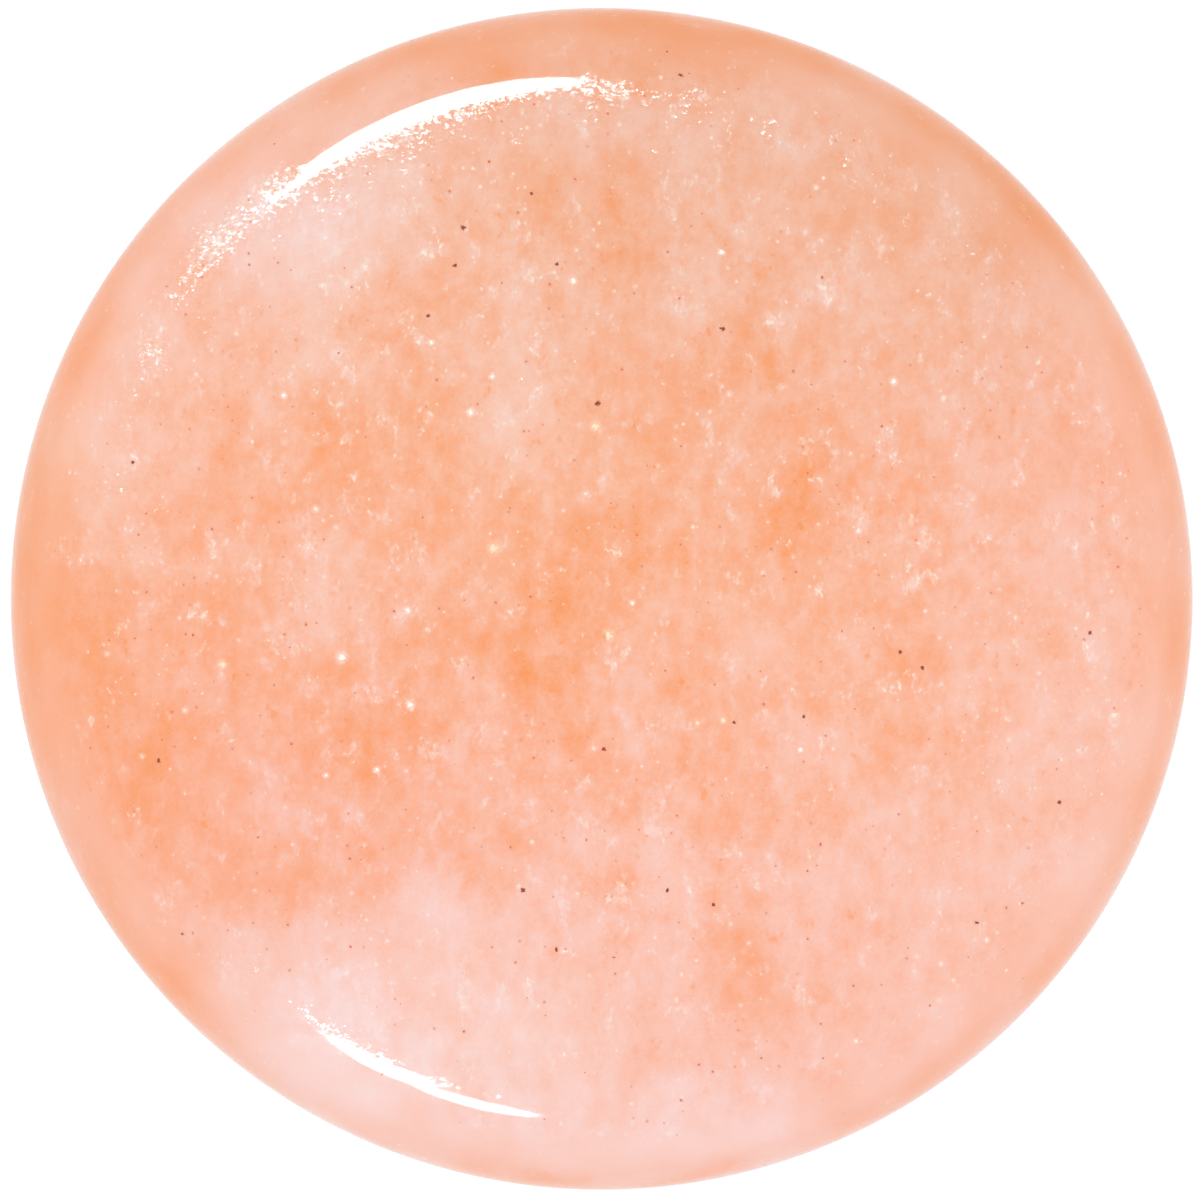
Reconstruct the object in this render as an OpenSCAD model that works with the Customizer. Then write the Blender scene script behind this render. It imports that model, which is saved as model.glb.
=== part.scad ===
// Double-flared ear plug, turned and polished from one piece of stone.
// The plug stands on its flat back face with its front face up, centred on Z.
// It is a solid of revolution: a crowned front face, a rounded front flare,
// a waisted saddle that the stretched ear lobe closes on, a rounded back flare
// and a flat back face. Every arc of the outline meets the next one at a tangent.

/* [Plug] */
// Gauge: diameter at the waist of the saddle, where the lobe sits
gauge_d = 12.7; // [10:0.1:16]
// Height that each flare stands proud of the waist, measured on the radius
flare_height = 1.05; // [0.6:0.05:1.4]
// Length along the axis, from the back face to the crown of the front face
plug_len = 12; // [10:0.5:16]

/* [Front flare] */
// Radius of the shoulder that rolls the front face over into the flare's edge
front_round_r = 1.48; // [0.9:0.01:1.8]
// Radius of the shallow crown of the front face
crown_r = 60; // [30:1:120]

/* [Back flare] */
// Radius of the edge that rolls the back face over into the back flare
back_round_r = 1.2; // [0.9:0.01:1.8]

/* [Hidden] */
$fn = 128;

// Radii of the waist and of both flares
waist_r = gauge_d / 2;
flare_r = waist_r + flare_height;

// Centre of the front flare's edge circle, which touches the crown circle from inside
front_x = flare_r - front_round_r;
crown_z = plug_len - crown_r;
front_z = crown_z + sqrt(pow(crown_r - front_round_r, 2) - pow(front_x, 2));

// Centre of the back flare's edge circle, which touches the flat back face
back_x = flare_r - back_round_r;
back_z = back_round_r;

// Saddle circle: it touches both edge circles from outside and reaches in to the waist
edge_span = front_z - back_z;
edge_skew = 2 * flare_height * (front_round_r - back_round_r) / edge_span;
front_to_waist = (edge_span + edge_skew) / 2;
waist_z = front_z - front_to_waist;
saddle_r = (pow(front_to_waist, 2) / flare_height + flare_height) / 2 - front_round_r;
saddle_x = waist_r + saddle_r;

// The point where one circle of the outline touches the next
function touch(from, to, r) = from + r * (to - from) / norm(to - from);

front_c = [front_x, front_z];
back_c = [back_x, back_z];
saddle_c = [saddle_x, waist_z];
crown_touch = touch([0, crown_z], front_c, crown_r);
front_touch = touch(front_c, saddle_c, front_round_r);
back_touch = touch(back_c, saddle_c, back_round_r);

// Half of the plug's outline, to the right of its axis
module outline() {
    union() {
        // Crown of the front face, as a sector of its circle
        intersection() {
            translate([0, crown_z]) circle(r = crown_r);
            polygon([[0, waist_z], front_c, 1.5 * crown_touch - 0.5 * front_c, [0, plug_len + 1]]);
        }
        // Rounded edges of the two flares
        translate(front_c) circle(r = front_round_r);
        translate(back_c) circle(r = back_round_r);
        // Core between the edges, hollowed by the saddle
        difference() {
            polygon([[0, 0], [back_x, 0], back_c, back_touch, front_touch, front_c, [0, waist_z]]);
            translate(saddle_c) circle(r = saddle_r);
        }
    }
}

module plug() {
    color("#fdbda2")
        rotate_extrude()
            outline();
}

plug();
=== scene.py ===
"""Double-flared ear plug of polished peach stone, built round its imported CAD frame.

Every size is in metres, in the CAD model's own frame. The plug stands on its flat back face
at the origin, its axis is +Z, and its front face looks up at the camera.
"""

import logging
import math
import random
from dataclasses import dataclass
from enum import Enum
from typing import Any

import bmesh
import bpy
from mathutils import Matrix, Vector, noise
from mathutils.kdtree import KDTree

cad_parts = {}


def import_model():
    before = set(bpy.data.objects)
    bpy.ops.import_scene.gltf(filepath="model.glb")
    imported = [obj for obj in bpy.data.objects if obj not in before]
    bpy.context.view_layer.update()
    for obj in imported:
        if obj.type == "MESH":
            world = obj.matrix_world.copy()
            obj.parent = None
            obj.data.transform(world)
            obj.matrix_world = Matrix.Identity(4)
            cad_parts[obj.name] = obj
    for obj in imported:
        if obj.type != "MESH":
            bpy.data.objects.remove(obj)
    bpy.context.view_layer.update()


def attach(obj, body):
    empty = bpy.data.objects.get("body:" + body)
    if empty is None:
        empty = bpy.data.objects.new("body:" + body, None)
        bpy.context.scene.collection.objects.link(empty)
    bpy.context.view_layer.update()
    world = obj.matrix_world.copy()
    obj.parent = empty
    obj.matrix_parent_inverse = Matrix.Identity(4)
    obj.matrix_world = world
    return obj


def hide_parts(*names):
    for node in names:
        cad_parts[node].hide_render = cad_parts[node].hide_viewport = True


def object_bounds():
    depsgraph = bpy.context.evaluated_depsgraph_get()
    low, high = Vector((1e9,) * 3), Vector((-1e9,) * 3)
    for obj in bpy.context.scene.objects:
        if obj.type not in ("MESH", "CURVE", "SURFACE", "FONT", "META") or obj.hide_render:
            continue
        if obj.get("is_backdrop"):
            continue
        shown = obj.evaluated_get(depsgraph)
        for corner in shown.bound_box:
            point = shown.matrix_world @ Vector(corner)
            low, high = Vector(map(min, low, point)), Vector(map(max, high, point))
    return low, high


LOG = logging.getLogger("ear_plug")
MM = 0.001
Colour = tuple[float, float, float]
Span = tuple[float, float]


class Mineral(Enum):
    """What clouds the stone. Each is an attribute on the points of the plug's mesh."""

    IRON = "iron"
    MILK = "milk"
    # Smoke is partly painted shade: on the front face it darkens the top, and away from the front
    # face it is a random darker tone.
    SMOKE = "smoke_and_shade"
    OCHRE = "ochre"
    ROSE = "rose"
    SUGAR = "sugar"


class Crystal(Enum):
    """The small grains that show as separate spots."""

    OXIDE = "oxide"
    RUST = "rust"
    # Quartz grains are white spots: partly pale grains, partly painted glints that stand in for
    # light reflected inside the stone.
    QUARTZ_AND_GLINT = "quartz"
    FELDSPAR = "feldspar"


@dataclass(frozen=True)
class Cloud:
    """A soft patch of one mineral under the front face.

    The place and the two half-widths are in millimetres, from the axis.
    """

    mineral: Mineral
    x: float
    y: float
    wide: float
    tall: float
    amount: float


@dataclass(frozen=True)
class Fleck:
    """One grain that stands out on the front face: its place and radius, in millimetres."""

    crystal: Crystal
    x: float
    y: float
    radius: float


CLOUDS = (
    Cloud(Mineral.IRON, -0.1, 0.4, 1.6, 0.9, 0.18),
    Cloud(Mineral.IRON, -0.9, -0.8, 0.6, 0.6, 0.18),
    Cloud(Mineral.IRON, -0.2, -2.2, 0.8, 0.5, 0.19),
    Cloud(Mineral.IRON, -2.8, -1.5, 1.1, 0.9, 0.20),
    Cloud(Mineral.IRON, -5.6, -1.2, 1.6, 1.8, 0.17),
    Cloud(Mineral.IRON, -5.8, -2.9, 0.9, 0.8, 0.04),
    Cloud(Mineral.IRON, -3.6, -3.4, 1.2, 0.6, 0.13),
    Cloud(Mineral.IRON, -1.6, -3.1, 0.7, 0.4, 0.10),
    Cloud(Mineral.IRON, -4.7, 1.5, 0.6, 0.7, 0.15),
    Cloud(Mineral.IRON, -3.3, 1.5, 0.55, 0.75, 0.15),
    Cloud(Mineral.IRON, -2.0, 1.9, 0.7, 0.6, 0.13),
    Cloud(Mineral.IRON, 0.3, 2.3, 0.7, 0.6, 0.12),
    Cloud(Mineral.IRON, 1.8, 1.9, 0.6, 0.5, 0.12),
    Cloud(Mineral.IRON, 3.0, 1.3, 0.8, 0.9, 0.20),
    Cloud(Mineral.IRON, 4.4, -0.6, 0.7, 0.45, 0.06),
    Cloud(Mineral.IRON, 1.4, -1.3, 0.7, 0.7, 0.08),
    Cloud(Mineral.IRON, 4.1, -2.1, 0.6, 0.8, 0.10),
    Cloud(Mineral.IRON, 2.1, -4.8, 0.7, 0.9, 0.13),
    Cloud(Mineral.IRON, -6.8, 0.3, 0.9, 1.6, 0.12),
    Cloud(Mineral.IRON, 5.7, 4.3, 0.8, 0.8, 0.10),
    Cloud(Mineral.IRON, 2.0, 3.5, 0.5, 0.8, 0.08),
    Cloud(Mineral.IRON, 1.0, 4.3, 0.6, 0.5, 0.07),
    Cloud(Mineral.IRON, -2.9, 1.0, 1.1, 0.5, 0.10),
    Cloud(Mineral.IRON, 4.4, 2.6, 0.6, 0.6, 0.08),
    Cloud(Mineral.IRON, -1.9, 4.2, 0.6, 0.6, 0.05),
    Cloud(Mineral.IRON, -3.9, 2.4, 0.6, 0.5, 0.06),
    Cloud(Mineral.MILK, -2.8, -5.7, 2.0, 1.2, 0.46),
    Cloud(Mineral.MILK, -4.1, -4.6, 1.2, 0.8, 0.20),
    Cloud(Mineral.MILK, -2.1, -4.0, 0.9, 0.6, 0.34),
    Cloud(Mineral.MILK, 0.2, -4.0, 1.6, 1.2, 0.14),
    Cloud(Mineral.MILK, 0.0, -6.3, 2.2, 1.1, 0.20),
    Cloud(Mineral.MILK, 4.0, -5.2, 1.7, 1.2, 0.20),
    Cloud(Mineral.MILK, 5.3, -3.5, 1.1, 1.0, 0.15),
    Cloud(Mineral.MILK, 3.4, -3.2, 1.0, 0.9, 0.16),
    Cloud(Mineral.MILK, -3.9, 4.2, 1.1, 0.7, 0.12),
    Cloud(Mineral.MILK, 0.9, 0.1, 0.5, 0.6, 0.09),
    Cloud(Mineral.MILK, 6.2, -1.5, 0.8, 0.8, 0.20),
    Cloud(Mineral.MILK, 5.2, 0.9, 1.2, 0.7, 0.08),
    Cloud(Mineral.MILK, 5.0, 3.5, 1.0, 0.6, 0.10),
    Cloud(Mineral.MILK, 0.2, 3.6, 0.7, 0.4, 0.12),
    Cloud(Mineral.MILK, -1.2, 2.6, 0.6, 0.9, 0.14),
    Cloud(Mineral.MILK, -3.3, 0.5, 0.4, 0.5, 0.10),
    # These two pale clouds, by the left end of the upper highlight, are partly the stone's
    # paleness and partly a painted glow of that highlight.
    Cloud(Mineral.MILK, -3.6, 4.7, 1.4, 1.0, 0.26),
    Cloud(Mineral.MILK, -5.4, 3.4, 0.7, 1.2, 0.20),
    Cloud(Mineral.MILK, -6.3, 1.6, 0.5, 0.9, 0.18),
    Cloud(Mineral.MILK, 0.7, 5.9, 2.0, 0.5, 0.15),
    Cloud(Mineral.MILK, 4.4, 4.5, 0.9, 0.7, 0.10),
    Cloud(Mineral.IRON, 0.8, 7.1, 4.4, 0.7, 0.21),
    Cloud(Mineral.IRON, 5.2, 5.0, 1.5, 1.4, 0.17),
    Cloud(Mineral.IRON, -6.3, 3.5, 0.6, 1.2, 0.10),
    Cloud(Mineral.IRON, -5.2, -4.9, 0.9, 0.9, 0.12),
    Cloud(Mineral.MILK, -3.9, 6.0, 1.0, 0.7, 0.10),
    Cloud(Mineral.MILK, 1.5, -7.0, 4.6, 1.0, 0.26),
    Cloud(Mineral.IRON, 0.6, -7.35, 2.2, 0.20, 0.30),
    Cloud(Mineral.MILK, 6.4, -3.4, 0.8, 1.2, 0.08),
    # Painted shade: the two smoke clouds below darken the top and the upper right of the front
    # face.
    Cloud(Mineral.SMOKE, 2.0, 7.0, 6.0, 4.2, 1.0),
    Cloud(Mineral.SMOKE, 5.3, 4.8, 1.5, 1.9, 0.5),
    Cloud(Mineral.OCHRE, 2.6, 4.8, 3.6, 2.4, 0.6),
    Cloud(Mineral.OCHRE, -2.8, 2.6, 3.2, 1.9, 0.8),
    Cloud(Mineral.OCHRE, -1.2, 4.8, 1.4, 1.0, 0.6),
    Cloud(Mineral.OCHRE, -7.0, 0.6, 0.9, 2.2, 0.9),
    Cloud(Mineral.OCHRE, 0.3, 0.5, 2.6, 1.9, 0.8),
    Cloud(Mineral.OCHRE, -1.0, -5.4, 2.2, 1.2, 0.5),
    Cloud(Mineral.OCHRE, 3.2, -0.8, 1.2, 1.6, 0.4),
    Cloud(Mineral.ROSE, 1.0, -6.5, 7.0, 4.5, 1.0),
    Cloud(Mineral.ROSE, -4.0, -2.8, 2.4, 1.6, 0.8),
    Cloud(Mineral.ROSE, -4.6, 4.6, 1.2, 1.0, 0.4),
    Cloud(Mineral.ROSE, 6.2, 1.6, 1.6, 1.6, 0.5),
    # The sugar clouds lie at the ends of the upper highlight: they pit the polish there, and the
    # white haze they bring is partly a painted glow of that highlight.
    Cloud(Mineral.SUGAR, 0.15, 6.44, 0.45, 0.20, 1.2),
    Cloud(Mineral.SUGAR, 1.4, 6.20, 0.65, 0.25, 0.8),
    Cloud(Mineral.SUGAR, 2.6, 5.65, 0.7, 0.35, 0.4),
    Cloud(Mineral.SUGAR, -4.10, 5.05, 0.40, 0.35, 1.1),
    Cloud(Mineral.SUGAR, -4.70, 4.45, 0.40, 0.35, 1.0),
    Cloud(Mineral.SUGAR, -5.05, 4.05, 0.30, 0.45, 0.9),
    Cloud(Mineral.SUGAR, -5.60, 3.20, 0.30, 0.45, 0.7),
    Cloud(Mineral.SUGAR, -5.95, 2.20, 0.25, 0.35, 0.5),
    Cloud(Mineral.SUGAR, -1.8, 5.3, 1.9, 0.4, 0.5),
)

FLECKS = (
    Fleck(Crystal.OXIDE, -0.05, 2.41, 0.033),
    Fleck(Crystal.OXIDE, 1.49, 3.33, 0.030),
    Fleck(Crystal.OXIDE, -1.71, 4.58, 0.029),
    Fleck(Crystal.OXIDE, -5.47, -2.00, 0.025),
    Fleck(Crystal.OXIDE, -1.81, 4.11, 0.027),
    Fleck(Crystal.OXIDE, 0.98, 6.48, 0.027),
    Fleck(Crystal.OXIDE, -0.55, 4.13, 0.023),
    Fleck(Crystal.OXIDE, -4.06, 5.64, 0.023),
    Fleck(Crystal.OXIDE, -0.97, -3.59, 0.027),
    Fleck(Crystal.OXIDE, 1.63, -1.52, 0.021),
    Fleck(Crystal.OXIDE, 6.03, -0.42, 0.025),
    Fleck(Crystal.OXIDE, 0.03, -1.85, 0.023),
    Fleck(Crystal.OXIDE, -5.79, 1.69, 0.023),
    Fleck(Crystal.OXIDE, -0.87, 5.00, 0.021),
    Fleck(Crystal.OXIDE, -0.56, -4.32, 0.023),
    Fleck(Crystal.OXIDE, -5.19, -4.14, 0.025),
    Fleck(Crystal.OXIDE, 5.65, -2.51, 0.025),
    Fleck(Crystal.OXIDE, 4.63, -4.00, 0.021),
    Fleck(Crystal.OXIDE, 0.81, -3.59, 0.021),
    Fleck(Crystal.OXIDE, 0.81, 6.78, 0.021),
    Fleck(Crystal.OXIDE, 1.38, -3.77, 0.021),
    Fleck(Crystal.OXIDE, 3.95, -0.85, 0.021),
    Fleck(Crystal.OXIDE, -2.14, 3.49, 0.021),
    Fleck(Crystal.OXIDE, 3.68, -0.66, 0.021),
    Fleck(Crystal.OXIDE, 2.49, -1.45, 0.020),
    Fleck(Crystal.OXIDE, 0.15, -4.41, 0.020),
    # The quartz flecks below are partly pale grains and partly painted glints.
    Fleck(Crystal.QUARTZ_AND_GLINT, -2.36, -1.30, 0.032),
    Fleck(Crystal.QUARTZ_AND_GLINT, -1.62, 2.30, 0.028),
    Fleck(Crystal.QUARTZ_AND_GLINT, -3.20, -0.72, 0.038),
    Fleck(Crystal.QUARTZ_AND_GLINT, 1.48, 4.28, 0.026),
    Fleck(Crystal.QUARTZ_AND_GLINT, -2.77, -2.11, 0.024),
    Fleck(Crystal.QUARTZ_AND_GLINT, -2.39, -0.14, 0.024),
    Fleck(Crystal.QUARTZ_AND_GLINT, -0.35, 3.92, 0.026),
    Fleck(Crystal.QUARTZ_AND_GLINT, 3.60, 2.68, 0.027),
    Fleck(Crystal.QUARTZ_AND_GLINT, -2.10, 3.16, 0.021),
    Fleck(Crystal.QUARTZ_AND_GLINT, -3.40, -2.18, 0.021),
    Fleck(Crystal.QUARTZ_AND_GLINT, -4.56, -1.77, 0.021),
    Fleck(Crystal.QUARTZ_AND_GLINT, -3.92, 2.51, 0.021),
    Fleck(Crystal.QUARTZ_AND_GLINT, -1.35, 2.74, 0.021),
    Fleck(Crystal.QUARTZ_AND_GLINT, 2.45, -1.86, 0.019),
    Fleck(Crystal.QUARTZ_AND_GLINT, 0.38, -0.05, 0.019),
    Fleck(Crystal.FELDSPAR, -4.68, -0.81, 0.030),
    Fleck(Crystal.FELDSPAR, 0.08, -0.45, 0.045),
    Fleck(Crystal.FELDSPAR, -1.33, 0.62, 0.045),
    Fleck(Crystal.FELDSPAR, 1.18, -1.53, 0.022),
    Fleck(Crystal.FELDSPAR, 1.50, -1.50, 0.026),
    Fleck(Crystal.FELDSPAR, -0.08, 2.12, 0.038),
)

# Each mineral's share away from the front face, and its offset into the noise that spreads it
WILD = {
    Mineral.IRON: (0.24, 0.0),
    Mineral.MILK: (0.24, 31.0),
    Mineral.SMOKE: (0.50, 67.0),
    Mineral.OCHRE: (0.60, 17.0),
    Mineral.ROSE: (0.60, 45.0),
    Mineral.SUGAR: (0.30, 90.0),
}


class Amount:
    """A number that varies over a surface: a socket of a node tree, with Python arithmetic."""

    def __init__(self, bench: "NodeBench", socket: bpy.types.NodeSocket) -> None:
        """Wraps one output socket.

        Args:
            bench: Where further nodes are added.
            socket: The output that carries the number.
        """
        self.bench = bench
        self.socket = socket

    def _math(self, operation: str, first: Any, second: Any = 0.0) -> "Amount":
        """Adds one Math node.

        Args:
            operation: The node's operation.
            first: Its first value or link.
            second: Its second value or link.

        Returns:
            The node's result.
        """
        return self.bench.amount("ShaderNodeMath", {"operation": operation}, {0: first, 1: second})

    def __add__(self, other: Any) -> "Amount":
        """The sum."""
        return self._math("ADD", self, other)

    def __radd__(self, other: Any) -> "Amount":
        """The sum, with a plain number first."""
        return self._math("ADD", other, self)

    def __sub__(self, other: Any) -> "Amount":
        """The difference."""
        return self._math("SUBTRACT", self, other)

    def __rsub__(self, other: Any) -> "Amount":
        """The difference, from a plain number."""
        return self._math("SUBTRACT", other, self)

    def __mul__(self, other: Any) -> "Amount":
        """The product."""
        return self._math("MULTIPLY", self, other)

    def __rmul__(self, other: Any) -> "Amount":
        """The product, with a plain number first."""
        return self._math("MULTIPLY", other, self)

    def __truediv__(self, other: Any) -> "Amount":
        """The quotient."""
        return self._math("DIVIDE", self, other)

    def least(self, other: Any) -> "Amount":
        """The smaller of the two."""
        return self._math("MINIMUM", self, other)

    def most(self, other: Any) -> "Amount":
        """The larger of the two."""
        return self._math("MAXIMUM", self, other)

    def step(self, low: float, high: float) -> "Amount":
        """A smooth step from 0 to 1.

        Args:
            low: Where it leaves 0.
            high: Where it reaches 1. It may be below low, and then the step falls.

        Returns:
            The step, from 0 to 1.
        """
        rising = low < high
        return self.bench.amount(
            "ShaderNodeMapRange",
            {"interpolation_type": "SMOOTHSTEP"},
            {
                "Value": self,
                "From Min": min(low, high),
                "From Max": max(low, high),
                "To Min": 0.0 if rising else 1.0,
                "To Max": 1.0 if rising else 0.0,
            },
        )


class NodeBench:
    """Adds nodes to one node tree and joins them up."""

    def __init__(self, tree: bpy.types.NodeTree) -> None:
        """Starts on an emptied tree.

        Args:
            tree: The tree of a material or a world.
        """
        self.tree = tree
        tree.nodes.clear()

    def add(
        self, kind: str, settings: dict[str, Any], sockets: dict[int | str, Any]
    ) -> bpy.types.Node:
        """Adds one node.

        Args:
            kind: The node's type.
            settings: Its settings, which are made first.
            sockets: The values or links of its inputs, by name or number.

        Returns:
            The node.
        """
        node = self.tree.nodes.new(kind)
        for name, value in settings.items():
            setattr(node, name, value)
        for name, value in sockets.items():
            if isinstance(value, Amount):
                self.tree.links.new(value.socket, node.inputs[name])
            elif isinstance(value, bpy.types.NodeSocket):
                self.tree.links.new(value, node.inputs[name])
            else:
                node.inputs[name].default_value = value
        return node

    def amount(
        self,
        kind: str,
        settings: dict[str, Any],
        sockets: dict[int | str, Any],
        output: int | str = 0,
    ) -> Amount:
        """Adds one node and gives an output of it as a number.

        Args:
            kind: The node's type.
            settings: Its settings.
            sockets: The values or links of its inputs.
            output: The output that is wanted.

        Returns:
            The output, ready for arithmetic.
        """
        return Amount(self, self.add(kind, settings, sockets).outputs[output])

    def vector(
        self, operation: str, *parts: Any, scale: float | Amount | None = None
    ) -> bpy.types.NodeSocket:
        """Adds one Vector Math node.

        Args:
            operation: The node's operation.
            parts: The vectors it works on.
            scale: The factor, for an operation that takes one.

        Returns:
            The vector that comes out.
        """
        sockets: dict[int | str, Any] = dict(enumerate(parts))
        if scale is not None:
            sockets["Scale"] = scale
        return self.add("ShaderNodeVectorMath", {"operation": operation}, sockets).outputs[0]

    def blend(self, factor: Any, first: Any, second: Any) -> bpy.types.NodeSocket:
        """Mixes two colours.

        Args:
            factor: How much of the second shows, from 0 to 1.
            first: The colour below.
            second: The colour laid over it.

        Returns:
            The mixed colour.
        """
        node = self.tree.nodes.new("ShaderNodeMix")
        node.data_type = "RGBA"
        node.clamp_factor = True
        plugs = {"Factor": factor, "A": first, "B": second}
        for plug in node.inputs:
            if not plug.enabled or plug.name not in plugs:
                continue
            value = plugs[plug.name]
            if isinstance(value, Amount):
                self.tree.links.new(value.socket, plug)
            elif isinstance(value, bpy.types.NodeSocket):
                self.tree.links.new(value, plug)
            elif plug.name == "Factor":
                plug.default_value = value
            else:
                plug.default_value = (*value, 1.0)
        return next(plug for plug in node.outputs if plug.enabled)


@dataclass(frozen=True)
class Outline:
    """The plug's outline: circles that meet at tangents, as the CAD model has them."""

    gauge: float = 12.7 * MM
    flare_height: float = 1.05 * MM
    length: float = 12.0 * MM
    front_round: float = 1.48 * MM
    back_round: float = 1.2 * MM
    crown: float = 60.0 * MM

    @property
    def flare(self) -> float:
        """Radius of both flares."""
        return self.gauge / 2 + self.flare_height

    @property
    def crown_centre(self) -> Vector:
        """Centre of the crown's circle."""
        return Vector((0.0, 0.0, self.length - self.crown))

    @property
    def front_centre(self) -> Vector:
        """Centre of the circle that rounds the front flare."""
        out = self.flare - self.front_round
        rise = math.sqrt((self.crown - self.front_round) ** 2 - out**2)
        return self.crown_centre + Vector((out, 0.0, rise))

    @property
    def back_centre(self) -> Vector:
        """Centre of the circle that rounds the back flare."""
        return Vector((self.flare - self.back_round, 0.0, self.back_round))

    @property
    def saddle_centre(self) -> Vector:
        """Centre of the circle that hollows the saddle."""
        span = self.front_centre.z - self.back_centre.z
        skew = 2 * self.flare_height * (self.front_round - self.back_round) / span
        to_waist = (span + skew) / 2
        hollow = (to_waist**2 / self.flare_height + self.flare_height) / 2 - self.front_round
        return Vector((self.gauge / 2 + hollow, 0.0, self.front_centre.z - to_waist))

    def on_face(self, x: float, y: float) -> Vector:
        """The point of the front face straight above a place on the floor.

        Args:
            x: The place along X.
            y: The place along Y.

        Returns:
            The point on the crown, or on the rounded edge outside it.
        """
        out = math.hypot(x, y)
        centre = self.front_centre
        edge = centre.x * self.crown / (self.crown - self.front_round)
        if out <= edge:
            return Vector((x, y, self.crown_centre.z + math.sqrt(self.crown**2 - out**2)))
        rise = math.sqrt(max(self.front_round**2 - (out - centre.x) ** 2, 0.0))
        return Vector((x, y, centre.z + rise))


def bearing(centre: Vector, point: Vector) -> float:
    """The direction from an arc's centre to a point of it, turned from +Z towards +X.

    Args:
        centre: The arc's centre.
        point: The point.

    Returns:
        The angle in radians.
    """
    return math.atan2(point.x - centre.x, point.z - centre.z)


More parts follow.
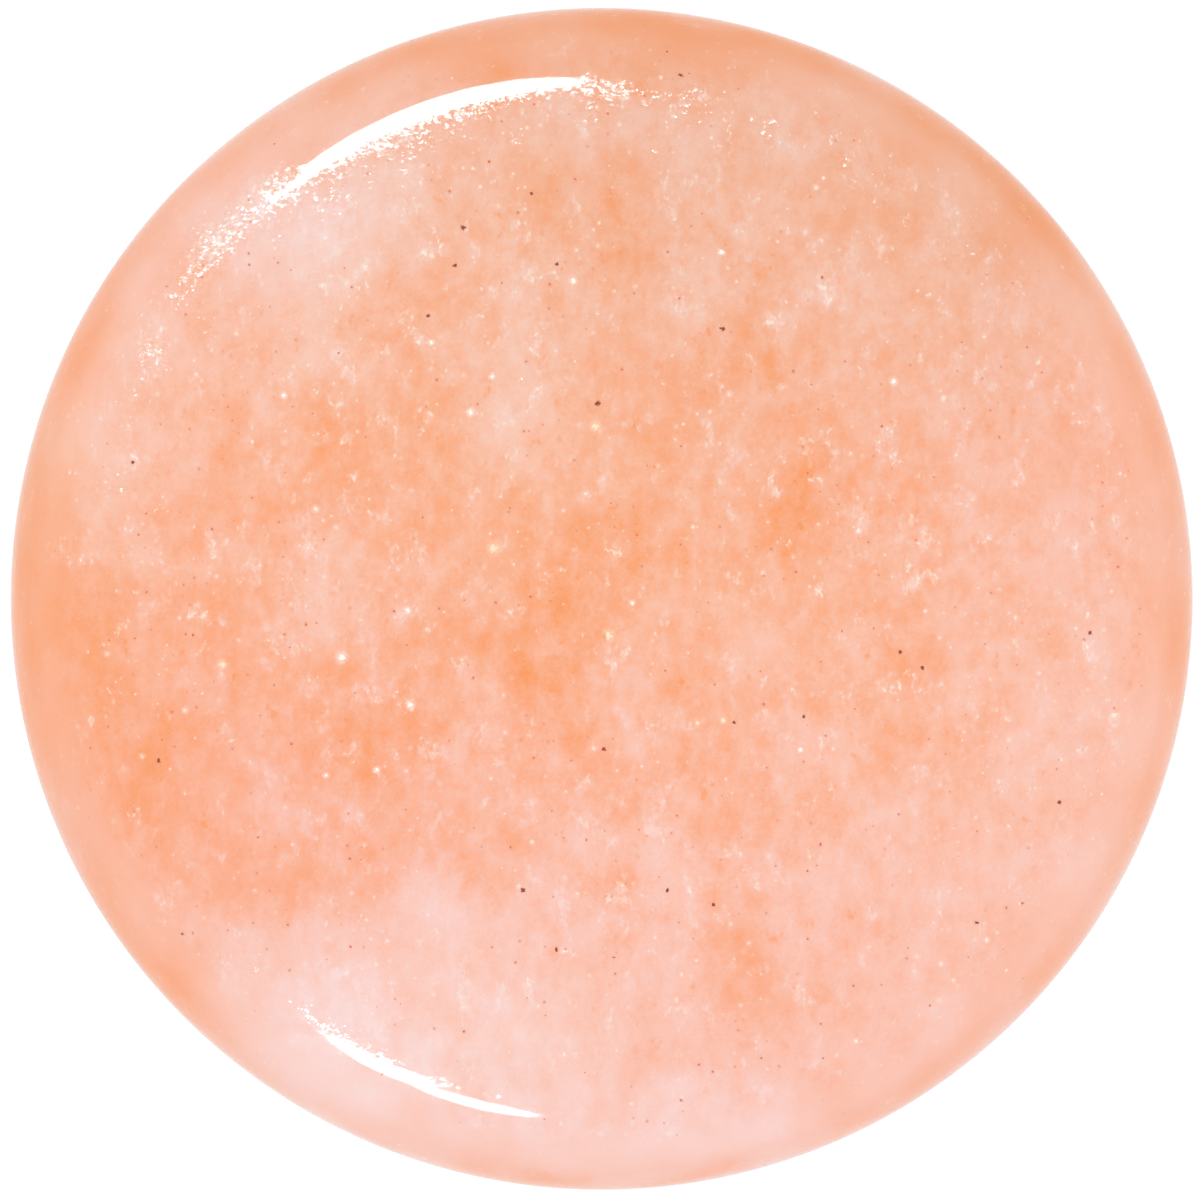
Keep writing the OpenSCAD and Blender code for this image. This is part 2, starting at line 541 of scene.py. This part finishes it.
@dataclass(frozen=True)
class StonePlug:
    """The plug: one piece of stone, turned, lapped and polished."""

    outline: Outline
    name: str = "stone_plug"
    round_steps: int = 256
    crown_steps: int = 44
    front_steps: int = 44
    saddle_steps: int = 48
    back_steps: int = 28
    back_rings: int = 24
    weld: float = 0.0002 * MM
    clouds: tuple[Cloud, ...] = CLOUDS
    cloud_end: float = 4.0
    face_depth: float = 3.2 * MM
    drift_seed: int = 11
    drifts: tuple[Span, ...] = ((1.1, 0.40), (3.1, 0.14))
    wild_rate: float = 0.45
    wild_shape: tuple[float, float, int] = (0.8, 2.1, 3)
    wild_base: float = 0.35
    wild_gain: float = 1.3

    def build(self) -> bpy.types.Object:
        """Makes the plug's mesh and clouds it.

        Returns:
            The plug, at the origin, not yet dressed.
        """
        shape = bmesh.new()
        self._draw_outline(shape)
        bmesh.ops.spin(
            shape,
            geom=shape.verts[:] + shape.edges[:],
            cent=(0.0, 0.0, 0.0),
            axis=(0.0, 0.0, 1.0),
            angle=math.tau,
            steps=self.round_steps,
            use_merge=True,
            use_duplicate=False,
        )
        bmesh.ops.remove_doubles(shape, verts=shape.verts[:], dist=self.weld)
        bmesh.ops.recalc_face_normals(shape, faces=shape.faces[:])
        shape = self._in_order(shape)
        self._cloud(shape)
        for face in shape.faces:
            face.smooth = True
        mesh = bpy.data.meshes.new(self.name)
        shape.to_mesh(mesh)
        shape.free()
        plug = bpy.data.objects.new(self.name, mesh)
        bpy.context.scene.collection.objects.link(plug)
        return plug

    @staticmethod
    def _in_order(shape: bmesh.types.BMesh) -> bmesh.types.BMesh:
        """Puts the faces and their corners in a fixed order, which the spin leaves to chance.

        Args:
            shape: The finished shape, which is freed.

        Returns:
            The same shape, in order.
        """
        shape.verts.index_update()
        faces = []
        for face in shape.faces:
            corners = [vert.index for vert in face.verts]
            first = corners.index(min(corners))
            faces.append(corners[first:] + corners[:first])
        ordered = bmesh.new()
        verts = [ordered.verts.new(vert.co) for vert in shape.verts]
        for corners in sorted(faces):
            ordered.faces.new([verts[index] for index in corners])
        shape.free()
        return ordered

    def _draw_outline(self, shape: bmesh.types.BMesh) -> None:
        """Draws half of the outline as a chain of edges, from the crown's top to the back.

        Args:
            shape: The empty mesh that takes it.
        """
        line = self.outline
        crown, front = line.crown_centre, line.front_centre
        saddle, back = line.saddle_centre, line.back_centre
        off_crown = bearing(crown, front)
        off_front = bearing(front, saddle)
        off_back = bearing(back, saddle)
        tip = shape.verts.new((0.0, 0.0, line.length))
        tip = self._roll(shape, tip, crown, off_crown, self.crown_steps)
        tip = self._roll(shape, tip, front, off_front - off_crown, self.front_steps)
        hollow = bearing(saddle, back) - bearing(saddle, front)
        tip = self._roll(shape, tip, saddle, hollow, self.saddle_steps)
        tip = self._roll(shape, tip, back, math.pi - off_back, self.back_steps)
        made = bmesh.ops.extrude_vert_indiv(shape, verts=[tip])
        made["verts"][0].co = Vector((0.0, 0.0, 0.0))
        bmesh.ops.subdivide_edges(shape, edges=made["edges"], cuts=self.back_rings)

    @staticmethod
    def _roll(
        shape: bmesh.types.BMesh, tip: bmesh.types.BMVert, centre: Vector, turn: float, steps: int
    ) -> bmesh.types.BMVert:
        """Carries the end of the outline round one arc.

        Args:
            shape: The mesh that holds the outline.
            tip: The outline's last point.
            centre: The arc's centre.
            turn: How far it turns, in radians, from +Z towards +X.
            steps: How many edges it has.

        Returns:
            The new last point.
        """
        made = bmesh.ops.spin(
            shape,
            geom=[tip],
            cent=centre,
            axis=(0.0, 1.0, 0.0),
            angle=turn,
            steps=steps,
            use_merge=False,
            use_duplicate=False,
        )
        return next(part for part in made["geom_last"] if isinstance(part, bmesh.types.BMVert))

    def _cloud(self, shape: bmesh.types.BMesh) -> None:
        """Gives each point its share of each mineral.

        Args:
            shape: The finished shape.
        """
        noise.seed_set(self.drift_seed)
        layers = {mineral: shape.verts.layers.float.new(mineral.value) for mineral in Mineral}
        on_face = self.outline.on_face
        charted = [(cloud, on_face(cloud.x * MM, cloud.y * MM) / MM) for cloud in self.clouds]
        for vert in shape.verts:
            place = vert.co / MM
            drift = Vector()
            for rate, reach in self.drifts:
                drift += Vector(noise.noise_vector(place * rate)) * reach
            place = place + drift
            depth = (self.outline.length - vert.co.z) / self.face_depth
            front = max(0.0, 1.0 - depth) ** 0.5
            for mineral, layer in layers.items():
                vert[layer] = self._wild(mineral, place) * (1.0 - front)
            for cloud, centre in charted:
                across = (place.x - centre.x) / cloud.wide
                along = (place.y - centre.y) / cloud.tall
                near = across * across + along * along
                if near < self.cloud_end:
                    vert[layers[cloud.mineral]] += cloud.amount * math.exp(-near) * front

    def _wild(self, mineral: Mineral, place: Vector) -> float:
        """How much of a mineral the stone has away from the front face.

        Args:
            mineral: The mineral.
            place: The place, in millimetres.

        Returns:
            The amount, from 0 to about 1.
        """
        share, apart = WILD[mineral]
        moved = place * self.wild_rate + Vector((apart, 0.0, 0.0))
        swell = noise.fractal(moved, *self.wild_shape)
        return max(0.0, share * (self.wild_base + self.wild_gain * swell))


@dataclass(frozen=True)
class Grain:
    """One grain in the surface, with its place and radius in millimetres."""

    crystal: Crystal
    place: Vector
    radius: float
    cover: float


@dataclass(frozen=True)
class Strewing:
    """One kind of grain, strewn over the whole plug.

    The density is to a square millimetre, and the smallest and largest radius are in
    millimetres. How far the grains gather and how strong the strongest is run from 0 to 1.
    """

    crystal: Crystal
    density: float
    small: float
    large: float
    gather: float
    cover: float


class GrainField:
    """The grains that show as separate spots, kept on the faces of the plug's mesh.

    Each face keeps the grain of each layer that lies nearest to it, and the material draws the
    part of that grain that falls on the face.
    """

    charted_layer = "coarse"
    layers = {
        "coarse": (
            Strewing(Crystal.RUST, 3.6, 0.008, 0.016, 0.2, 1.0),
            Strewing(Crystal.QUARTZ_AND_GLINT, 1.0, 0.012, 0.026, 1.0, 0.7),
            Strewing(Crystal.FELDSPAR, 0.15, 0.015, 0.03, 0.5, 0.5),
        ),
        "fine": (Strewing(Crystal.QUARTZ_AND_GLINT, 6.5, 0.008, 0.018, 1.0, 0.5),),
    }
    tints = {
        Crystal.OXIDE: (0.27, 0.024, 0.0),
        Crystal.RUST: (0.58, 0.080, 0.01),
        Crystal.QUARTZ_AND_GLINT: (0.92, 0.87, 0.81),
        Crystal.FELDSPAR: (0.83, 0.67, 0.47),
    }
    # The halo round a quartz grain is a painted glow; the other halos are soft edges of the
    # grain's own colour.
    halos = {Crystal.OXIDE: 0.0, Crystal.RUST: 0.2, Crystal.QUARTZ_AND_GLINT: 0.45, Crystal.FELDSPAR: 0.4}
    swell_rate = Vector((0.9, 0.6, 0.9))
    swell_shape = (0.8, 2.2, 3)
    swell_gain = 2.6
    swell_loss = 0.35
    faintest = 0.35

    def __init__(self, plug: bpy.types.Object, outline: Outline, seed: int = 11) -> None:
        """Takes the plug whose faces are to keep the grains.

        Args:
            plug: The plug.
            outline: Its outline, which places the charted grains.
            seed: What the scatter of the other grains starts from.
        """
        self.mesh = plug.data
        self.outline = outline
        self.chance = random.Random(seed)
        self.areas = [face.area / MM**2 for face in self.mesh.polygons]

    def strew(self) -> None:
        """Gives every face its grains."""
        for layer, strewings in self.layers.items():
            grains = self._chart() if layer == self.charted_layer else []
            for strewing in strewings:
                grains += self._scatter(strewing)
            self._keep(layer, grains)

    def _chart(self) -> list[Grain]:
        """Sets the flecks that have a place of their own on the front face.

        Returns:
            The grains.
        """
        grains = []
        for fleck in FLECKS:
            place = self.outline.on_face(fleck.x * MM, fleck.y * MM) / MM
            grains.append(Grain(fleck.crystal, place, fleck.radius, 1.0))
        return grains

    def _scatter(self, strewing: Strewing) -> list[Grain]:
        """Strews one kind of grain over the whole plug.

        Args:
            strewing: The kind, and how it is strewn.

        Returns:
            The grains.
        """
        count = round(strewing.density * sum(self.areas))
        spread = strewing.large - strewing.small
        grains = []
        for face in self.chance.choices(self.mesh.polygons, weights=self.areas, k=count):
            spots = [self.mesh.vertices[index].co / MM for index in face.vertices]
            weights = [self.chance.random() for _ in spots]
            place = sum((weight * spot for weight, spot in zip(weights, spots)), Vector())
            place = place / sum(weights)
            swell = noise.fractal(place * self.swell_rate, *self.swell_shape)
            keep = 1.0 + strewing.gather * (self.swell_gain * swell - self.swell_loss)
            size = strewing.small + spread * self.chance.random() ** 2
            if self.chance.random() < keep:
                strength = self.faintest + (1.0 - self.faintest) * self.chance.random() ** 1.5
                grains.append(Grain(strewing.crystal, place, size, strewing.cover * strength))
        return grains

    def _keep(self, layer: str, grains: list[Grain]) -> None:
        """Writes the nearest grain of a layer on each face.

        Args:
            layer: The layer's name.
            grains: Its grains.
        """
        tree = KDTree(len(grains))
        for index, grain in enumerate(grains):
            tree.insert(grain.place, index)
        tree.balance()
        nearest = [grains[tree.find(face.center / MM)[1]] for face in self.mesh.polygons]
        parts = {
            "place": ("FLOAT_VECTOR", "vector", [tuple(grain.place) for grain in nearest]),
            "radius": ("FLOAT", "value", [(grain.radius,) for grain in nearest]),
            "halo": ("FLOAT", "value", [(self.halos[grain.crystal],) for grain in nearest]),
            "tint": (
                "FLOAT_COLOR",
                "color",
                [(*self.tints[grain.crystal], grain.cover) for grain in nearest],
            ),
        }
        for part, (kind, field, rows) in parts.items():
            attribute = self.mesh.attributes.new(f"{layer}_{part}", kind, "FACE")
            attribute.data.foreach_set(field, [number for row in rows for number in row])


class Ground:
    """The place on the plug that is being shaded, and what the mesh tells about it."""

    def __init__(self, bench: NodeBench) -> None:
        """Adds the nodes that read the place, in millimetres.

        Args:
            bench: The material's nodes.
        """
        self.bench = bench
        spot = bench.add("ShaderNodeTexCoord", {}, {}).outputs["Object"]
        self.place = bench.vector("SCALE", spot, scale=1.0 / MM)
        self.share = {mineral: self.read(mineral.value, "Fac") for mineral in Mineral}
        self.out = bench.amount(
            "ShaderNodeVectorMath",
            {"operation": "LENGTH"},
            {0: bench.vector("MULTIPLY", self.place, (1.0, 1.0, 0.0))},
            "Value",
        )
        self.height = bench.amount("ShaderNodeSeparateXYZ", {}, {0: self.place}, "Z")

    def read(self, name: str, output: str) -> Amount:
        """Reads one attribute of the mesh.

        Args:
            name: The attribute's name.
            output: The output of its node that is wanted.

        Returns:
            The attribute there.
        """
        settings = {"attribute_type": "GEOMETRY", "attribute_name": name}
        return self.bench.amount("ShaderNodeAttribute", settings, {}, output)


@dataclass(frozen=True)
class Weave:
    """A cloudy noise, with its frequency per millimetre and how much coarser it is along Y."""

    scale: float
    detail: float
    roughness: float
    squash: float
    offset: float

    def draw(self, ground: Ground) -> Amount:
        """Adds the noise to a material.

        Args:
            ground: The place that is being shaded.

        Returns:
            The noise, between -0.5 and 0.5 and about 0 on average.
        """
        bench = ground.bench
        stretch = (1.0, self.squash, 1.0)
        shift = (self.offset, self.offset * 0.7, self.offset * 1.3)
        moved = bench.vector("MULTIPLY_ADD", ground.place, stretch, shift)
        sockets = {
            "Vector": moved,
            "Scale": self.scale,
            "Detail": self.detail,
            "Roughness": self.roughness,
        }
        return bench.amount("ShaderNodeTexNoise", {"noise_dimensions": "3D"}, sockets) - 0.5


class Veins:
    """The noises that run through the stone, and where the rim's smooth band is."""

    swell_weave = Weave(0.7, 1.0, 1.0, 0.66, 3.0)
    mottle_weave = Weave(2.8, 1.4, 1.0, 0.70, 13.0)
    sugar_weave = Weave(11.0, 3.0, 1.0, 0.85, 23.0)
    flaws_weave = Weave(3.4, 3.0, 0.80, 0.70, 53.0)
    grit_weave = Weave(15.0, 1.0, 0.60, 0.80, 61.0)
    curl_weave = Weave(9.0, 1.0, 0.50, 0.80, 71.0)
    jagged_weave = Weave(38.0, 0.0, 0.50, 1.0, 29.0)
    band_edge: Span = (6.45, 6.90)
    band_foot: Span = (10.0, 10.8)
    band_strength = 0.75
    liveliest = 1.25
    calmed = 0.35
    calm_edge: Span = (3.0, 7.0)

    def __init__(self, ground: Ground) -> None:
        """Adds the noises to a material.

        Args:
            ground: The place that is being shaded.
        """
        band = ground.out.step(*self.band_edge) * ground.height.step(*self.band_foot)
        self.smooth = band * self.band_strength
        calm = ground.out.step(*self.calm_edge) * self.calmed
        self.lively = (self.liveliest - calm) * (1.0 - self.smooth)
        self.swell = self.swell_weave.draw(ground)
        self.mottle = self.mottle_weave.draw(ground)
        self.sugar = self.sugar_weave.draw(ground)
        self.flaws = self.flaws_weave.draw(ground)
        self.grit = self.grit_weave.draw(ground)
        self.curl = self.curl_weave.draw(ground)
        self.jagged = self.jagged_weave.draw(ground)


@dataclass(frozen=True)
class Milkiness:
    """How pale the stone is: the weight of each noise, and where each of its marks begins."""

    base: float = 0.41
    swell: float = 0.54
    sugar: float = 0.44
    mottle: float = 0.56
    frost: float = 0.18
    rust: float = 0.22
    # The rim weight is painted shade: it makes the outer edge of the front flare a deeper orange.
    rim: float = 0.22
    frost_edge: Span = (0.03, 0.22)
    rust_edge: Span = (0.12, 0.26)
    rim_shade_edge: Span = (6.85, 7.35)

    def draw(self, ground: Ground, veins: Veins) -> Amount:
        """Adds it to a material.

        Args:
            ground: The place that is being shaded.
            veins: The noises there.

        Returns:
            The amount, from 0 for orange to 1 for pale.
        """
        share = ground.share
        frost = veins.flaws + veins.swell * 0.2 + share[Mineral.SUGAR] * 0.05
        frost = frost.step(*self.frost_edge) * self.frost
        rust = (veins.flaws * -1.0).step(*self.rust_edge) * self.rust
        # Painted shade: a deeper orange on the outer edge of the front flare, where the rounded
        # edge turns away.
        rim = veins.smooth * ground.out.step(*self.rim_shade_edge) * self.rim
        milk = share[Mineral.MILK] - share[Mineral.IRON]
        milk = milk + veins.swell * self.swell + veins.sugar * veins.lively * self.sugar
        milk = milk + (veins.mottle * self.mottle + frost - rust) * veins.lively
        return milk - rim + self.base


@dataclass(frozen=True)
class Snow:
    """The white marks in the stone: curly wisps, small flakes, and a white haze where it is
    sugary, partly pale grains and partly a painted glow round the upper highlight's ends.
    """

    wisps: float = 0.75
    flakes: float = 0.6
    dust_and_haze: float = 0.5
    stroke_width: float = 0.035
    faint_stroke: float = 0.2
    wisp_edge: Span = (0.11, 0.21)
    flake_edge: Span = (0.24, 0.34)
    dust_and_haze_edge: Span = (0.36, 0.75)

    def draw(self, ground: Ground, veins: Veins) -> Amount:
        """Adds the marks to a material.

        Args:
            ground: The place that is being shaded.
            veins: The noises there.

        Returns:
            How much of the colour is white.
        """
        sugar, rose = ground.share[Mineral.SUGAR], ground.share[Mineral.ROSE]
        flaws, grit = veins.flaws, veins.grit
        strokes = veins.curl.most(veins.curl * -1.0).step(self.stroke_width, 0.0)
        strokes = strokes * (1.0 - self.faint_stroke) + self.faint_stroke
        wisps = (flaws + grit * 0.3 - rose * 0.02).step(*self.wisp_edge) * strokes
        flakes = (grit + flaws * 0.7 + sugar * 0.06 - rose * 0.08).step(*self.flake_edge)
        # Painted haze: partly white sugary grains, partly a painted glow round the ends of the
        # upper highlight.
        dust_and_haze = (sugar * 0.5 + grit * 1.3 + flaws * 0.6).step(*self.dust_and_haze_edge)
        marks = (wisps * self.wisps).most(flakes * self.flakes).most(dust_and_haze * self.dust_and_haze)
        return marks * (1.0 - veins.smooth)


@dataclass(frozen=True)
class Pits:
    """Where small grains broke out of the polish, and how they tilt the surface.

    The places are distances from the axis in millimetres.
    """

    roughness: float = 0.08
    scale: float = 18.0
    tilt: float = 1.3
    gather_weave: Weave = Weave(2.2, 2.0, 0.7, 0.8, 83.0)
    gather_edge: Span = (-0.12, 0.15)
    shoulder_end: Span = (6.36, 6.28)
    shoulder_start: Span = (5.2, 6.1)
    face_end: Span = (6.5, 6.2)
    sugar_edge: Span = (0.2, 0.7)
    sugary: float = 1.3
    rare: float = 0.7

    def draw(self, ground: Ground) -> Amount:
        """Adds how far the surface is pitted to a material.

        Args:
            ground: The place that is being shaded.

        Returns:
            The amount: 0 where the polish is whole, and about 1 where it is worst.
        """
        share, out = ground.share, ground.out
        gather = self.gather_weave.draw(ground).step(*self.gather_edge)
        sound = 1.0 - share[Mineral.ROSE]
        shoulder = out.step(*self.shoulder_end) * out.step(*self.shoulder_start)
        shoulder = shoulder * (gather * 0.9 + 0.35) * (sound * 0.8 + 0.2)
        speckled = (share[Mineral.SUGAR] * (gather * 0.8 + 0.5)).step(*self.sugar_edge)
        rare = gather * sound * out.step(*self.face_end) * self.rare
        return shoulder.most(speckled * self.sugary).most(rare)

    def facing(self, ground: Ground, pitted: Amount) -> bpy.types.NodeSocket:
        """Tilts the polished surface in the pits.

        Args:
            ground: The place that is being shaded.
            pitted: How far it is pitted there.

        Returns:
            The direction that the surface faces.
        """
        bench = ground.bench
        moved = bench.vector("MULTIPLY_ADD", ground.place, (0.75, 1.1, 1.0), (7.0, 5.0, 9.0))
        pits = bench.add(
            "ShaderNodeTexNoise",
            {"noise_dimensions": "3D"},
            {"Vector": moved, "Scale": self.scale, "Detail": 2.5, "Roughness": 0.75},
        )
        askew = bench.vector("SUBTRACT", pits.outputs["Color"], (0.5, 0.5, 0.5))
        askew = bench.vector("SCALE", askew, scale=pitted * self.tilt)
        facing = bench.add("ShaderNodeNewGeometry", {}, {}).outputs["Normal"]
        return bench.vector("NORMALIZE", bench.vector("ADD", facing, askew))


@dataclass(frozen=True)
class PeachStone:
    """Polished translucent quartz: peach, clouded, and full of small grains."""

    name: str = "peach_stone"
    orange: Colour = (0.805, 0.259, 0.075)
    pale: Colour = (0.805, 0.588, 0.553)
    # This tint darkens the colour: painted shade on the top of the front face, a random darker
    # tone elsewhere.
    smoke_and_shade_tint: Colour = (0.910, 0.935, 0.920)
    straw: Colour = (1.000, 1.006, 0.950)
    blush: Colour = (1.000, 0.972, 1.005)
    white: Colour = (0.850, 0.765, 0.655)
    roughness: float = 0.075
    refraction: float = 1.54
    translucency: float = 0.30
    scatter: tuple[float, float, float] = (1.0, 0.45, 0.28)
    scatter_length: float = 0.35 * MM
    milkiness: Milkiness = Milkiness()
    snow: Snow = Snow()
    pits: Pits = Pits()
    halo_edge: Span = (3.0, 0.4)
    grain_edge: Span = (1.35, 0.65)
    grain_raggedness: float = 1.6

    def dress(self, plug: bpy.types.Object) -> None:
        """Makes the material and puts it on the plug.

        Args:
            plug: The plug, clouded and strewn with its grains.
        """
        material = bpy.data.materials.new(self.name)
        material.use_nodes = True
        bench = NodeBench(material.node_tree)
        ground = Ground(bench)
        pitted = self.pits.draw(ground)
        stone = bench.add(
            "ShaderNodeBsdfPrincipled",
            {"subsurface_method": "BURLEY"},
            {
                "Base Color": self._colour(ground),
                "Roughness": pitted.least(1.0) * self.pits.roughness + self.roughness,
                "IOR": self.refraction,
                "Subsurface Weight": self.translucency,
                "Subsurface Radius": self.scatter,
                "Subsurface Scale": self.scatter_length,
                "Normal": self.pits.facing(ground, pitted),
            },
        )
        bench.add("ShaderNodeOutputMaterial", {}, {"Surface": stone.outputs[0]})
        plug.data.materials.clear()
        plug.data.materials.append(material)

    def _colour(self, ground: Ground) -> bpy.types.NodeSocket:
        """The stone's colour.

        Args:
            ground: The place that is being shaded.

        Returns:
            The colour.
        """
        bench = ground.bench
        veins = Veins(ground)
        colour = bench.blend(self.milkiness.draw(ground, veins), self.orange, self.pale)
        # The smoke mineral paints shade on the top of the front face; ochre and rose are the
        # stone's own tints.
        tints = {Mineral.SMOKE: self.smoke_and_shade_tint, Mineral.OCHRE: self.straw, Mineral.ROSE: self.blush}
        for mineral, tint in tints.items():
            veil = bench.blend(ground.share[mineral], (1.0, 1.0, 1.0), tint)
            colour = bench.vector("MULTIPLY", colour, veil)
        colour = bench.blend(self.snow.draw(ground, veins), colour, self.white)
        ragged = veins.jagged * self.grain_raggedness + veins.smooth
        for layer in GrainField.layers:
            colour = self._lay_grains(ground, layer, ragged, colour)
        return colour

    def _lay_grains(
        self, ground: Ground, layer: str, ragged: Amount, colour: bpy.types.NodeSocket
    ) -> bpy.types.NodeSocket:
        """Draws one layer of separate grains over the stone.

        Args:
            ground: The place that is being shaded.
            layer: The layer, which names its attributes on the faces.
            ragged: A fine noise that breaks up the grains' edges.
            colour: The colour below.

        Returns:
            The colour with the grains on it.
        """
        centre = ground.read(f"{layer}_place", "Vector").socket
        radius = ground.read(f"{layer}_radius", "Fac")
        strongest = ground.read(f"{layer}_halo", "Fac")
        tint = ground.read(f"{layer}_tint", "Color").socket
        strength = ground.read(f"{layer}_tint", "Alpha")
        apart = ground.bench.amount(
            "ShaderNodeVectorMath",
            {"operation": "DISTANCE"},
            {0: ground.place, 1: centre},
            "Value",
        )
        near = apart / radius + ragged
        halo = near.step(*self.halo_edge) * strongest
        cover = near.step(*self.grain_edge).most(halo) * strength
        return ground.bench.blend(cover, colour, tint)


@dataclass(frozen=True)
class Softbox:
    """An oval soft light that points at the plug.

    Where it hangs and how wide and tall it looks from the plug are in degrees.
    """

    name: str
    azimuth: float
    elevation: float
    wide: float
    tall: float
    radiance: float = 20.0
    distance: float = 0.4
    tint: Colour = (0.94, 0.98, 1.08)

    def hang(self, target: Vector) -> bpy.types.Object:
        """Makes the light.

        Args:
            target: What it points at.

        Returns:
            The light.
        """
        lamp = bpy.data.lights.new(self.name, "AREA")
        lamp.shape = "ELLIPSE"
        lamp.size = 2 * self.distance * math.tan(math.radians(self.wide / 2))
        lamp.size_y = 2 * self.distance * math.tan(math.radians(self.tall / 2))
        lamp.energy = self.radiance * math.pi * (math.pi / 4 * lamp.size * lamp.size_y)
        lamp.color = self.tint
        light = bpy.data.objects.new(self.name, lamp)
        turn, rise = math.radians(self.azimuth), math.radians(self.elevation)
        away = Vector(
            (math.cos(turn) * math.cos(rise), math.sin(turn) * math.cos(rise), math.sin(rise))
        )
        light.matrix_world = (
            Matrix.Translation(target + away * self.distance)
            @ away.to_track_quat("Z", "Y").to_matrix().to_4x4()
        )
        light.visible_camera = False
        light.visible_diffuse = False
        bpy.context.scene.collection.objects.link(light)
        return light


@dataclass(frozen=True)
class Studio:
    """A plain pale table, lit softly from above and glowing a little itself."""

    table_half: float = 0.6
    table_gap: float = 0.02 * MM
    table_colour: Colour = (0.25, 0.25, 0.25)
    table_glow: float = 0.85
    sky: Colour = (1.0, 1.0, 1.0)
    sky_strength: float = 1.20
    ground_strength: float = 0.95
    horizon: Span = (-0.35, 0.0)
    softboxes: tuple[Softbox, ...] = (
        Softbox("key_light", 110.8, 47.9, 26.0, 21.2),
        Softbox("fill_light", 244.3, 50.0, 8.6, 14.6),
        Softbox("end_light", 255.5, 45.2, 10.2, 8.8),
    )

    def build(self, outline: Outline) -> None:
        """Makes the table, the sky and the lights.

        Args:
            outline: The plug's outline, which the lights point at.
        """
        self._lay_table()
        self._spread_sky()
        for softbox in self.softboxes:
            softbox.hang(Vector((0.0, 0.0, outline.length)))

    def _lay_table(self) -> None:
        """Lays the table that the plug stands on.

        It shows from above only, and lies a hair below the plug so that the two faces are apart.
        """
        shape = bmesh.new()
        below = Matrix.Translation((0.0, 0.0, -self.table_gap))
        size = self.table_half
        bmesh.ops.create_grid(shape, x_segments=1, y_segments=1, size=size, matrix=below)
        mesh = bpy.data.meshes.new("table")
        shape.to_mesh(mesh)
        shape.free()
        table = bpy.data.objects.new("table", mesh)
        bpy.context.scene.collection.objects.link(table)
        material = bpy.data.materials.new("pale_acrylic")
        material.use_nodes = True
        bench = NodeBench(material.node_tree)
        sheet = bench.add(
            "ShaderNodeBsdfPrincipled",
            {},
            {
                "Base Color": (*self.table_colour, 1.0),
                "Roughness": 0.9,
                "Specular IOR Level": 0.0,
                "Emission Color": (1.0, 1.0, 1.0, 1.0),
                "Emission Strength": self.table_glow,
            },
        )
        unseen = bench.add("ShaderNodeBsdfTransparent", {}, {})
        back = bench.add("ShaderNodeNewGeometry", {}, {}).outputs["Backfacing"]
        shown = bench.add(
            "ShaderNodeMixShader", {}, {0: back, 1: sheet.outputs[0], 2: unseen.outputs[0]}
        )
        bench.add("ShaderNodeOutputMaterial", {}, {"Surface": shown.outputs[0]})
        material.cycles.emission_sampling = "NONE"
        mesh.materials.append(material)
        table.visible_glossy = False
        table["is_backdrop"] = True

    def _spread_sky(self) -> None:
        """Surrounds the scene with an even pale sky that is dimmer below the table."""
        world = bpy.data.worlds.new("pale_sky")
        world.use_nodes = True
        bench = NodeBench(world.node_tree)
        way = bench.add("ShaderNodeTexCoord", {}, {}).outputs["Generated"]
        rise = bench.amount("ShaderNodeSeparateXYZ", {}, {0: way}, "Z")
        dip = self.sky_strength - self.ground_strength
        strength = rise.step(*self.horizon) * dip + self.ground_strength
        glow = bench.add(
            "ShaderNodeBackground", {}, {"Color": (*self.sky, 1.0), "Strength": strength}
        )
        bench.add("ShaderNodeOutputWorld", {}, {"Surface": glow.outputs[0]})
        bpy.context.scene.world = world


@dataclass(frozen=True)
class FaceOnCamera:
    """A long lens that looks straight down on the front face."""

    lens: float = 250.0
    height: float = 114.60 * MM
    aside: float = -0.021 * MM
    below: float = -0.014 * MM

    def build(self) -> bpy.types.Object:
        """Makes the camera and gives the picture its plain colours.

        Returns:
            The camera.
        """
        data = bpy.data.cameras.new("face_on")
        data.lens = self.lens
        data.clip_start = MM
        data.clip_end = 10.0
        camera = bpy.data.objects.new("face_on", data)
        camera.location = (self.aside, self.below, self.height)
        bpy.context.scene.collection.objects.link(camera)
        bpy.context.scene.camera = camera
        bpy.context.scene.view_settings.view_transform = "Standard"
        return camera


def corners() -> list[list[float]]:
    """The lowest and highest corners of what shows, as plain lists."""
    return [list(corner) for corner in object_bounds()]


def main() -> None:
    """Builds the plug round the frame, dresses it and sets the scene."""
    logging.basicConfig(level=logging.INFO, format="%(name)s: %(message)s")
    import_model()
    outline = Outline()
    FaceOnCamera().build()

    plug = StonePlug(outline).build()
    GrainField(plug, outline).strew()
    PeachStone().dress(plug)
    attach(plug, "root")
    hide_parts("plug")
    LOG.info("%s: %d faces, rides on root", plug.name, len(plug.data.polygons))

    Studio().build(outline)
    LOG.info("studio: table, sky and lights")


if __name__ == "__main__":
    main()
